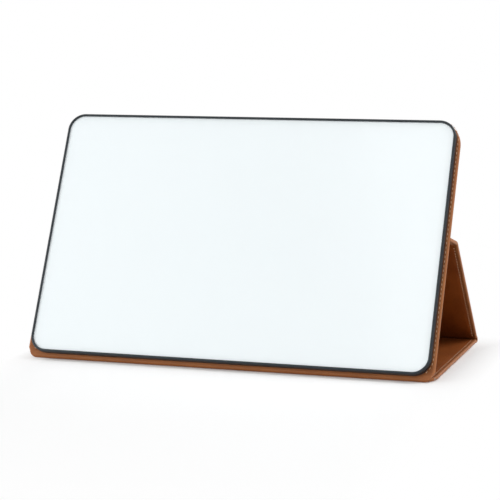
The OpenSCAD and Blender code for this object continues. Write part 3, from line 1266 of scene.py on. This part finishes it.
@dataclass
class StraightLeaf(SubAssembly):
    """The base, the strut or the flap: a stiff board in leather, straight-sided.

    A closed end is rounded off in steps, each a distance back from the end and how far
    the section shrinks there.
    """

    label: str
    body: Body
    place: LeafFrame
    end: float
    stitched: tuple[Face, ...] = (Face.INNER,)
    seed: int = 11
    style: StitchStyle = StitchStyle()
    nipped: bool = False
    nip_rows: int = 10
    nip_spacing: float = 1.5
    closed_end: bool = False
    end_slope: float = 0.0
    end_steps: tuple[Pair, ...] = ((0.9, 0.0), (0.45, 0.12), (0.15, 0.35), (0.0, 0.7))
    face_band: float = 1.2
    stitch_stop: float = 2.2
    thread_sunk: float = 0.1

    def _stop(self, height: float, inset: float) -> float:
        """Where a piece of the leaf stops.

        Args:
            height: Height above the outer face.
            inset: How far the piece stays back from a closed end.

        Returns:
            The distance from the fold line.
        """
        if not self.closed_end:
            return self.end
        tilt = math.radians(self.end_slope)
        back = (height - self.sizes.leaf_t) * math.tan(tilt)
        return self.end - inset / math.cos(tilt) - back

    def _front_rows(self) -> list[Pair]:
        """The rows at the leaf's front, as distance from the fold line and nip."""
        gap = self.sizes.crease_gap
        if not self.nipped:
            return [(gap, 0.0)]
        shares = [i / (self.nip_rows - 1) for i in range(self.nip_rows)]
        reach = self.sizes.base_nip
        fronts = [gap + reach * share**self.nip_spacing for share in shares]
        return [(y, self.sizes.nip(self.sizes.fold_run + y - gap)) for y in fronts]

    def _sweep(
        self, name: str, half: HalfSection, finish: bpy.types.Material, inset: float
    ) -> bpy.types.Object:
        """Sweeps half a section along the leaf, and rounds a closed end.

        Args:
            name: The piece's name.
            half: The half-section.
            finish: Its material.
            inset: How far it stays back from a closed end.

        Returns:
            The new object.
        """
        loop = LeafSection(self.sizes).mirrored(half)
        maker = MeshMaker(name)
        middle = self.sizes.leaf_t / 2
        rows: list[list[int]] = []
        row_wear_and_sheen = [wear_and_sheen for _, _, wear_and_sheen in loop]
        for y, nip in self._front_rows():
            local = [(x - math.copysign(nip, x), y, h) for x, h, _ in loop]
            rows.append(maker.add_row(self.place, local, row_wear_and_sheen))
        for back, shrink in self.end_steps if self.closed_end else [(0.0, 0.0)]:
            local = []
            for x, h, _ in loop:
                pull = shrink * (1 if h < middle else -1)
                near_face = abs(h - middle) > middle - self.face_band
                y = self._stop(h, inset) - back
                local.append((x - math.copysign(shrink, x), y, h + pull * near_face))
            # The rounded end lightens as it narrows: partly wear, partly a painted
            # highlight.
            end_wear_and_sheen = [max(wear_and_sheen, min(1.0, shrink)) for wear_and_sheen in row_wear_and_sheen]
            rows.append(maker.add_row(self.place, local, end_wear_and_sheen))
        maker.loft(rows)
        maker.cap(rows)
        return maker.build([finish])

    def leather(self) -> bpy.types.Object:
        """The outer leather with its turned edges."""
        half = LeafSection(self.sizes).wrap(self.sizes.leaf_t)
        node = f"{self.label}_outer_leather"
        made = self._sweep(f"{self.label}_leather", half, self.finishes.leather, 0.0)
        return settle(made, self.body, Slot.OUTER_LEATHER, node)

    def lining(self) -> bpy.types.Object:
        """The lining with its rounded edges."""
        half = LeafSection(self.sizes).lining(self.sizes.leaf_t)
        inset = self.sizes.lining_inset
        f = self.finishes
        # The strut takes the lining copy with painted shade.
        finish = f.strut_lining if self.body is Body.STRUT else f.lining
        made = self._sweep(f"{self.label}_inside", half, finish, inset)
        return settle(made, self.body, Slot.LINING, f"{self.label}_lining")

    def stitches(self) -> bpy.types.Object:
        """The lines of stitches along both sides."""
        s = self.sizes
        name = f"{self.label}_stitches"
        run = StitchRun(name, self.finishes, self.style, self.seed)
        first = s.crease_gap + self.stitch_stop
        last = self.end - (s.stitch_inset if self.closed_end else self.stitch_stop)
        for face in self.stitched:
            inner = face is Face.INNER
            z, sunk = (s.leaf_t, self.thread_sunk) if inner else (0.0, 0.0)
            for side in (-1, 1):
                x = side * (s.leaf_w / 2 - s.stitch_inset)
                path = [(x, first, z), (x, last, z)]
                run.sew(path, (0.0, 0.0, float(face.value)), self.place, sunk)
        return run.finish(self.body, f"{self.label}_stitching")

    def build(self) -> None:
        """Builds the leaf's leather, lining and stitches."""
        self.leather()
        self.lining()
        self.stitches()


@dataclass
class FoldCrease(SubAssembly):
    """Leather that bends between two leaves, thinned in the gutter of the fold.

    It is drawn round the fold line: a along the first leaf and b out of its inner face.
    """

    name: str
    angle: float
    first: Body
    second: Body
    hinge: LeafFrame
    radius: float
    flip: float = 1.0
    nipped: bool = False
    arc_steps: int = 14
    roll: float = 1.15
    roll_steps: tuple[float, ...] = (0.0, 0.15, 0.35, 0.55, 0.75, 0.95, 1.15)
    straight_ease: float = 0.1
    shut_over: float = 1.2
    outside_h: float = 0.1
    outside_wear_and_sheen: float = 0.25

    def _thickness(self, from_end: float) -> float:
        """Thickness of the leather at a distance from a leaf's end."""
        t = min(1.0, max(0.0, from_end / self.roll))
        drop = self.sizes.leaf_t - self.sizes.crease_t
        return self.sizes.leaf_t - drop * t * t * (3 - 2 * t)

    def _openness(self, from_end: float) -> float:
        """How open the groove is: a nipped fold presses it shut."""
        return max(0.0, 1.0 - from_end / self.shut_over) if self.nipped else 1.0

    def _stations(self) -> list[tuple[Pair, Pair, float]]:
        """Places along the bend: point on the outside, inward direction, thickness."""
        s = self.sizes
        turn = math.radians(self.angle)
        run = (s.leaf_t - self.radius) / math.tan(turn / 2)
        centre = (-run, -(s.leaf_t - self.radius))
        along = (math.cos(turn), math.sin(turn))
        out = (-math.sin(turn), math.cos(turn))
        straight = s.crease_gap + run
        if straight > self.roll + self.straight_ease:
            steps = [*self.roll_steps, straight - self.straight_ease]
        else:
            count = len(self.roll_steps)
            steps = [straight * i / count for i in range(count)]
        made: list[tuple[Pair, Pair, float]] = []
        for d in steps:
            made.append(((s.crease_gap - d, -s.leaf_t), (0.0, 1.0), self._thickness(d)))
        for x, y in arc(centre, self.radius, 270.0, 90.0 + self.angle, self.arc_steps):
            inward = ((centre[0] - x) / self.radius, (centre[1] - y) / self.radius)
            made.append(((x, y), inward, self._thickness(straight)))
        for d in reversed(steps):
            far = s.crease_gap - d
            point = (
                far * along[0] + s.leaf_t * out[0],
                far * along[1] + s.leaf_t * out[1],
            )
            made.append((point, (-out[0], -out[1]), self._thickness(d)))
        return made

    def _world(self, a: float, b: float) -> np.ndarray:
        """A point round the fold line, in the easel's frame."""
        return self.hinge.place(np.array([(0.0, self.flip * a, b)]))[0]

    def build(self) -> bpy.types.Object:
        """Builds the crease between its two bodies, fixed in place at rest."""
        section = LeafSection(self.sizes, channelled=False)
        maker = MeshMaker(f"{self.name}_leather")
        rows: list[list[int]] = []
        stations = self._stations()
        steps = [math.dist(a[0], b[0]) for a, b in zip(stations, stations[1:])]
        along = [sum(steps[:i]) for i in range(len(stations))]
        marks: list[int] = []
        for (point, inward, thick), travelled in zip(stations, along):
            inside = min(travelled, along[-1] - travelled)
            half, kinds = section.whole(thick, self._openness(inside))
            loop = section.mirrored(half)
            marks = kinds + list(reversed(kinds[:-1])) + [0]
            # The crease's outer face is lightened: partly stretch and wear, partly a
            # painted highlight.
            row_wear_and_sheen = [
                max(wear_and_sheen, self.outside_wear_and_sheen) if h < self.outside_h else wear_and_sheen
                for _, h, wear_and_sheen in loop
            ]
            nip = self.sizes.nip(along[-1] - travelled) if self.nipped else 0.0
            local = [
                (
                    x - math.copysign(nip, x),
                    self.flip * (point[0] + inward[0] * h),
                    point[1] + inward[1] * h,
                )
                for x, h, _ in loop
            ]
            grain = [(x, travelled, h) for x, h, _ in loop]
            rows.append(maker.add_row(self.hinge, local, row_wear_and_sheen, grain))
        maker.loft(rows, marks)
        maker.cap(rows)
        made = maker.build([self.finishes.crease_leather, self.finishes.crease_lining])
        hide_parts(self.name)
        turn = math.radians(self.angle / 2)
        reach = self.sizes.crease_gap * math.sin(turn)
        across = (-math.sin(turn) * reach, math.cos(turn) * reach)
        start = self._world(-across[0], -across[1]) * MM
        end = self._world(across[0], across[1]) * MM
        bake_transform(made)
        ends = (self.first.value, self.second.value)
        LOG.info("%s bends from %s to %s", made.name, *ends)
        return made


@dataclass
class BackLeaf(SubAssembly):
    """The whiteboard's leaf, with round corners at the top."""

    place: LeafFrame
    corner_steps: int = 18
    nip_steps: int = 5
    side_shares: Pair = (0.35, 0.7)
    style: StitchStyle = StitchStyle(length=2.3, half_w=0.33, height=0.17)
    seed: int = 23
    stitch_out: float = 0.25
    stitch_stop: float = 0.8
    stitch_steps: int = 16

    def outline(self) -> Outline:
        """The leaf's edge from low right over the top to low left."""
        s = self.sizes
        half, r = s.leaf_w / 2, s.leaf_corner_r
        nipped, n = s.nip_start - s.crease_gap, self.nip_steps
        heights = [s.crease_gap + nipped * i / n for i in range(n + 1)]
        heights += [s.leaf_top * share for share in self.side_shares]
        side_line = [(half - s.nip(s.crease_gap - y), y) for y in heights]
        rows: Outline = [(x, y, 1.0, 0.0) for x, y in side_line]
        for side, begin in ((1, 0.0), (-1, 90.0)):
            centre = (side * (half - r), s.leaf_top - r)
            rows += round_corner(centre, r, begin, self.corner_steps)
        return rows + [(-x, y, -1.0, 0.0) for x, y in reversed(side_line)]

    def _sweep(
        self, name: str, half: HalfSection, finish: bpy.types.Material
    ) -> bpy.types.Object:
        """Sweeps half a section round the leaf's edge and closes its two faces."""
        maker = MeshMaker(name)
        rows: list[list[int]] = []
        row_wear_and_sheen = [wear_and_sheen for _, _, wear_and_sheen in half]
        for x, y, nx, ny in self.outline():
            local = [
                (x - nx * inset, y - ny * inset, self.sizes.leaf_t - h)
                for inset, h, _ in half
            ]
            rows.append(maker.add_row(self.place, local, row_wear_and_sheen))
        maker.loft(rows, closed=False)
        maker.fill_sides(rows)
        maker.fill(rows[0] + list(reversed(rows[-1])))
        return maker.build([finish])

    def stitches(self) -> bpy.types.Object:
        """The line of stitches beside the edge frame, and below it."""
        s = self.sizes
        run = StitchRun("back_stitches", self.finishes, self.style, self.seed)
        out = -s.frame_stitch_gap - self.stitch_out
        ring = frame_outline(s, out, self.stitch_steps)
        low_right = 3 * (self.stitch_steps + 1)
        around = ring[low_right:] + ring[:low_right]
        lowest = s.crease_gap + self.stitch_stop
        path = [(x, y, s.leaf_t) for x, y, _, _ in around if y > lowest]
        run.sew(path, (0.0, 0.0, 1.0), self.place)
        return run.finish(Body.WHITEBOARD, "back_stitching")

    def build(self) -> None:
        """Builds the leaf's leather, lining and stitches."""
        section = LeafSection(self.sizes, channelled=False)
        t = self.sizes.leaf_t
        leather = self._sweep("back_leather", section.wrap(t), self.finishes.leather)
        settle(leather, Body.WHITEBOARD, Slot.OUTER_LEATHER, "back_outer_leather")
        inside = self._sweep("back_inside", section.lining(t), self.finishes.lining)
        settle(inside, Body.WHITEBOARD, Slot.LINING, "back_lining")
        self.stitches()


# ---------------------------------------------------------------- whiteboard


def frame_outline(s: EaselSizes, inset: float, steps: int) -> Outline:
    """A closed loop parallel to the edge frame's outer edge.

    Args:
        s: The easel's sizes.
        inset: How far inside the frame's edge, or outside it where negative.
        steps: Number of steps round each corner.

    Returns:
        The loop, counter-clockwise from the right.
    """
    half_x = s.board_w / 2 - s.corner_r
    half_y = s.board_h / 2 - s.corner_r
    middle = s.frame_low + s.board_h / 2
    rows: Outline = []
    for number, (sx, sy) in enumerate(((1, 1), (-1, 1), (-1, -1), (1, -1))):
        centre = (sx * half_x, middle + sy * half_y)
        rows += round_corner(centre, s.corner_r - inset, 90.0 * number, steps)
    return rows


@dataclass
class Whiteboard(SubAssembly):
    """The edge frame and the writing sheet that it holds."""

    place: LeafFrame
    corner_steps: int = 24
    front_steps: int = 8
    lip_steps: int = 5
    lip_round: float = 0.4
    back_ease: Pair = (0.12, 0.15)
    rim_gap: float = 0.05
    rim_w: float = 0.8
    rim_drop: float = 0.08
    rim_steps: int = 6

    def _sweep(self, maker: MeshMaker, section: list[Pair]) -> list[list[int]]:
        """Adds a row of section points at each place on the outline, and closes it."""
        rows: list[list[int]] = []
        for x, y, nx, ny in frame_outline(self.sizes, 0.0, self.corner_steps):
            local = [(x - nx * i, y - ny * i, z) for i, z in section]
            rows.append(maker.add_row(self.place, local))
        return rows + rows[:1]

    def edge_frame(self) -> bpy.types.Object:
        """The edge frame: outer wall, round front edge and lip over the sheet."""
        s = self.sizes
        front, r, q = s.frame_front, s.frame_round, self.lip_round
        inward, upward = self.back_ease
        section: list[Pair] = [(inward, s.leaf_t), (0.0, s.leaf_t + upward)]
        outer = arc((0.0, front - r), r, 0.0, 90.0, self.front_steps)
        lip = arc((0.0, front - q), q, 0.0, 90.0, self.lip_steps)
        section += [(r - x, z) for x, z in outer]
        section += [(s.lip_w - q + x, z) for x, z in reversed(lip)]
        section += [(s.lip_w, s.face_front), (s.frame_wall, s.face_front)]
        section += [(s.frame_wall, s.leaf_t)]
        maker = MeshMaker("edge_frame_ring")
        maker.loft(self._sweep(maker, section))
        made = maker.build([self.finishes.frame])
        return settle(made, Body.WHITEBOARD, Slot.EDGE_FRAME, "edge_frame")

    def writing_face(self) -> bpy.types.Object:
        """The coated sheet, whose rim falls off a little under the frame's lip."""
        s = self.sizes
        side = s.frame_wall + s.sheet_gap
        low, top = s.face_front - s.sheet_t, s.face_front
        section: list[Pair] = [(side, low), (side, top - self.rim_drop)]
        for i in range(self.rim_steps + 1):
            t = i / self.rim_steps
            fall = self.rim_drop * (1 - t) ** 2
            section.append((s.lip_w + self.rim_gap + self.rim_w * t, top - fall))
        maker = MeshMaker("writing_face_sheet")
        rows = self._sweep(maker, section)
        maker.loft(rows, closed=False)
        maker.fill_sides(rows[:-1])
        made = maker.build([self.finishes.enamel], sharp=60.0)
        return settle(made, Body.WHITEBOARD, Slot.WRITING_FACE, "writing_sheet")

    def build(self) -> None:
        """Builds the frame and the sheet."""
        self.edge_frame()
        self.writing_face()


@dataclass
class InnerParts:
    """Finishes for the solids that the leather and the frame close in."""

    nodes: dict[str, bpy.types.Object]

    def build(self) -> None:
        """Dresses each solid with its own finish."""
        grey = PressedBoardFinish("greyboard", (0.36, 0.33, 0.29), (0.20, 0.18, 0.15))
        fibre = PressedBoardFinish("fibreboard", (0.42, 0.30, 0.19), (0.27, 0.18, 0.10))
        plated = MetalFinish("zinc_plated_steel", (0.60, 0.61, 0.62), 0.38)
        nickel = MetalFinish("nickel_plating", (0.68, 0.67, 0.64), 0.2, (1.0, 1.0, 1.0))
        sheet = MetalFinish("plain_sheet_metal", (0.66, 0.67, 0.68), 0.42)
        finishes = {
            grey: [f"{leaf}_stiffener" for leaf in ("base", "strut", "flap", "back")],
            fibre: ["board_core"],
            plated: ["steel_keeper"],
            nickel: ["flap_magnets"],
            sheet: ["board_back_plate"],
            FoamFinish(): ["adhesive_pads"],
        }
        for finish, names in finishes.items():
            material = finish.material()
            for name in names:
                mesh = self.nodes[name].data
                mesh.materials.clear()
                mesh.materials.append(material)
                LOG.info("%s dressed in %s", name, material.name)


# ---------------------------------------------------------------- studio


@dataclass(frozen=True)
class Lamp:
    """A soft square lamp that faces the easel, in metres and watts.

    A sheen lamp only adds highlights.
    """

    name: str
    at: Triple
    size: float
    power: float
    sheen: bool = False
    aim: Triple = (0.0, 0.0, 0.1)

    def hang(self) -> None:
        """Adds the lamp to the scene."""
        data = bpy.data.lights.new(self.name, "AREA")
        data.shape = "SQUARE"
        data.size, data.energy = self.size, self.power
        lamp = bpy.data.objects.new(self.name, data)
        lamp.location = self.at
        look = Vector(self.aim) - Vector(self.at)
        lamp.rotation_euler = look.to_track_quat("-Z", "Y").to_euler()
        lamp.visible_diffuse = not self.sheen
        bpy.context.scene.collection.objects.link(lamp)


@dataclass
class Studio:
    """White floor and surroundings, soft lamps and the camera, in metres."""

    camera_at: Triple = (0.5647, -1.67748, 0.368816)
    camera_turn: Triple = (81.381, 0.482, 18.675)
    lens: float = 130.627
    sensor_w: float = 36.0
    clip: Pair = (0.05, 50.0)
    floor_half: float = 6.0
    floor_drop: float = 0.0001
    floor_white: float = 0.935
    floor_lift: float = 0.03
    fade: Pair = (0.30, 0.75)
    side_fade: Pair = (0.190, 0.230)
    rear_fade: Pair = (0.05, 0.13)
    fade_middle: float = 0.012
    ambient: float = 0.457
    lamps: tuple[Lamp, ...] = (
        Lamp("left_lamp", (-2.0, -0.7, 0.9), 1.2, 4.6),
        Lamp("low_lamp", (-1.6, -1.6, 0.5), 1.2, 18.9),
        Lamp("rear_lamp", (1.3, 0.4, 1.7), 1.0, 18.5),
        Lamp("front_lamp", (0.3, -1.6, 1.9), 1.6, 11.5),
        Lamp("left_sheen", (-2.2, 0.35, 0.5), 0.6, 14.0, sheen=True),
        Lamp("top_sheen", (0.2, 1.8, 2.2), 1.0, 12.0, sheen=True),
    )

    def floor_material(self) -> bpy.types.Material:
        """White that keeps the shadow near the easel and fades to plain white."""
        b = Bench("white_floor")
        white = (self.floor_white,) * 3
        b.set(Base_Color=(*white, 1.0), Roughness=0.9, Specular_IOR_Level=0.0)
        rays = b.node("ShaderNodeLightPath").outputs
        seen = b.maths("MAXIMUM", rays["Is Camera Ray"], rays["Is Glossy Ray"])
        seen = b.maths("MAXIMUM", seen, rays["Is Transmission Ray"])
        b.set(Emission_Color=(1.0, 1.0, 1.0, 1.0))
        lift = b.maths("MULTIPLY", seen, self.floor_lift)
        b.join(lift, b.shader.inputs["Emission Strength"])
        place = b.node("ShaderNodeTexCoord").outputs["Object"]
        away = b.node("ShaderNodeVectorMath", operation="LENGTH")
        b.join(place, away.inputs[0])
        amount = b.spread(away.outputs["Value"], *self.fade)
        parts = b.node("ShaderNodeSeparateXYZ")
        b.join(place, parts.inputs[0])
        aside = b.maths("SUBTRACT", parts.outputs["X"], self.fade_middle)
        aside = b.spread(b.maths("ABSOLUTE", aside, 0.0), *self.side_fade)
        amount = b.maths("MAXIMUM", amount, aside)
        behind = b.spread(parts.outputs["Y"], *self.rear_fade)
        amount = b.maths("MAXIMUM", amount, behind)
        plain = b.node("ShaderNodeEmission")
        mix = b.node("ShaderNodeMixShader")
        b.join(b.maths("MULTIPLY", amount, seen), mix.inputs[0])
        b.join(b.shader.outputs[0], mix.inputs[1])
        b.join(plain.outputs[0], mix.inputs[2])
        b.join(mix.outputs[0], b.tree.nodes["Material Output"].inputs["Surface"])
        return b.material

    def floor(self) -> bpy.types.Object:
        """The floor under the easel."""
        mesh = bpy.data.meshes.new("floor")
        r, z = self.floor_half, -self.floor_drop
        corners = [(-r, -r, z), (r, -r, z), (r, r, z), (-r, r, z)]
        mesh.from_pydata(corners, [], [(0, 1, 2, 3)])
        mesh.materials.append(self.floor_material())
        made = bpy.data.objects.new("floor", mesh)
        bpy.context.scene.collection.objects.link(made)
        return made

    def world(self) -> None:
        """White surroundings to the camera and in reflections, softer as a light."""
        world = bpy.data.worlds.new("studio_world")
        bpy.context.scene.world = world
        world.use_nodes = True
        tree = world.node_tree
        back = tree.nodes["Background"]
        back.inputs["Color"].default_value = (1.0, 1.0, 1.0, 1.0)
        rays = tree.nodes.new("ShaderNodeLightPath")
        both = tree.nodes.new("ShaderNodeMath")
        both.operation = "MAXIMUM"
        tree.links.new(rays.outputs["Is Camera Ray"], both.inputs[0])
        tree.links.new(rays.outputs["Is Glossy Ray"], both.inputs[1])
        strength = tree.nodes.new("ShaderNodeMapRange")
        strength.inputs[3].default_value = self.ambient
        strength.inputs[4].default_value = 1.0
        tree.links.new(both.outputs[0], strength.inputs[0])
        tree.links.new(strength.outputs[0], back.inputs["Strength"])

    def camera(self) -> None:
        """Adds the camera at the photograph's point of view."""
        data = bpy.data.cameras.new("camera")
        data.lens, data.sensor_width = self.lens, self.sensor_w
        data.clip_start, data.clip_end = self.clip
        camera = bpy.data.objects.new("camera", data)
        camera.location = self.camera_at
        camera.rotation_euler = [math.radians(a) for a in self.camera_turn]
        bpy.context.scene.collection.objects.link(camera)
        bpy.context.scene.camera = camera

    def build(self) -> None:
        """Builds the whole studio."""
        bpy.context.scene.view_settings.view_transform = "Standard"
        self.camera()
        self.world()
        self.floor()
        for lamp in self.lamps:
            lamp.hang()


# ---------------------------------------------------------------- whole easel


def main() -> None:
    """Builds the studio and the easel's sub-assemblies in order."""
    logging.basicConfig(level=logging.INFO, format="%(name)s: %(message)s")
    sizes = EaselSizes()
    leaves = LeafFrames(sizes)
    Studio().build()
    kit = (sizes, Finishes())
    base_end = sizes.rear_y - sizes.front_y - sizes.crease_gap
    strut_end = sizes.strut_inner - sizes.crease_gap
    slope = sizes.flap_turn - sizes.board_angle - 90.0
    flap_end = sizes.flap_len - sizes.flap_gap / math.cos(math.radians(slope))
    both = (Face.INNER, Face.OUTER)
    parts = [
        StraightLeaf(
            *kit,
            label="base",
            body=Body.BASE,
            place=leaves.base,
            end=base_end,
            nipped=True,
        ),
        StraightLeaf(
            *kit,
            label="strut",
            body=Body.STRUT,
            place=leaves.strut,
            end=strut_end,
            stitched=both,
            seed=12,
            style=StitchStyle(pitch=4.0, length=1.8, half_w=0.58),
        ),
        StraightLeaf(
            *kit,
            label="flap",
            body=Body.FLAP,
            place=leaves.flap,
            end=flap_end,
            stitched=both,
            seed=13,
            closed_end=True,
            end_slope=slope,
        ),
        BackLeaf(*kit, leaves.board),
        FoldCrease(
            *kit,
            name="front_crease",
            angle=sizes.board_angle,
            first=Body.BASE,
            second=Body.WHITEBOARD,
            hinge=leaves.board.fold_line(),
            radius=sizes.crease_r,
            nipped=True,
        ),
        FoldCrease(
            *kit,
            name="rear_crease",
            angle=sizes.strut_angle,
            first=Body.BASE,
            second=Body.STRUT,
            hinge=leaves.strut.fold_line(),
            radius=sizes.crease_r,
            flip=-1.0,
        ),
        FoldCrease(
            *kit,
            name="top_crease",
            angle=180.0 - sizes.flap_bend,
            first=Body.FLAP,
            second=Body.STRUT,
            hinge=leaves.flap.fold_line(sizes.flap_turn),
            radius=sizes.top_crease_r,
        ),
        Whiteboard(*kit, leaves.board),
        InnerParts(frame["nodes"]),
    ]
    for part in parts:
        part.build()


if __name__ == "__main__":
    main()
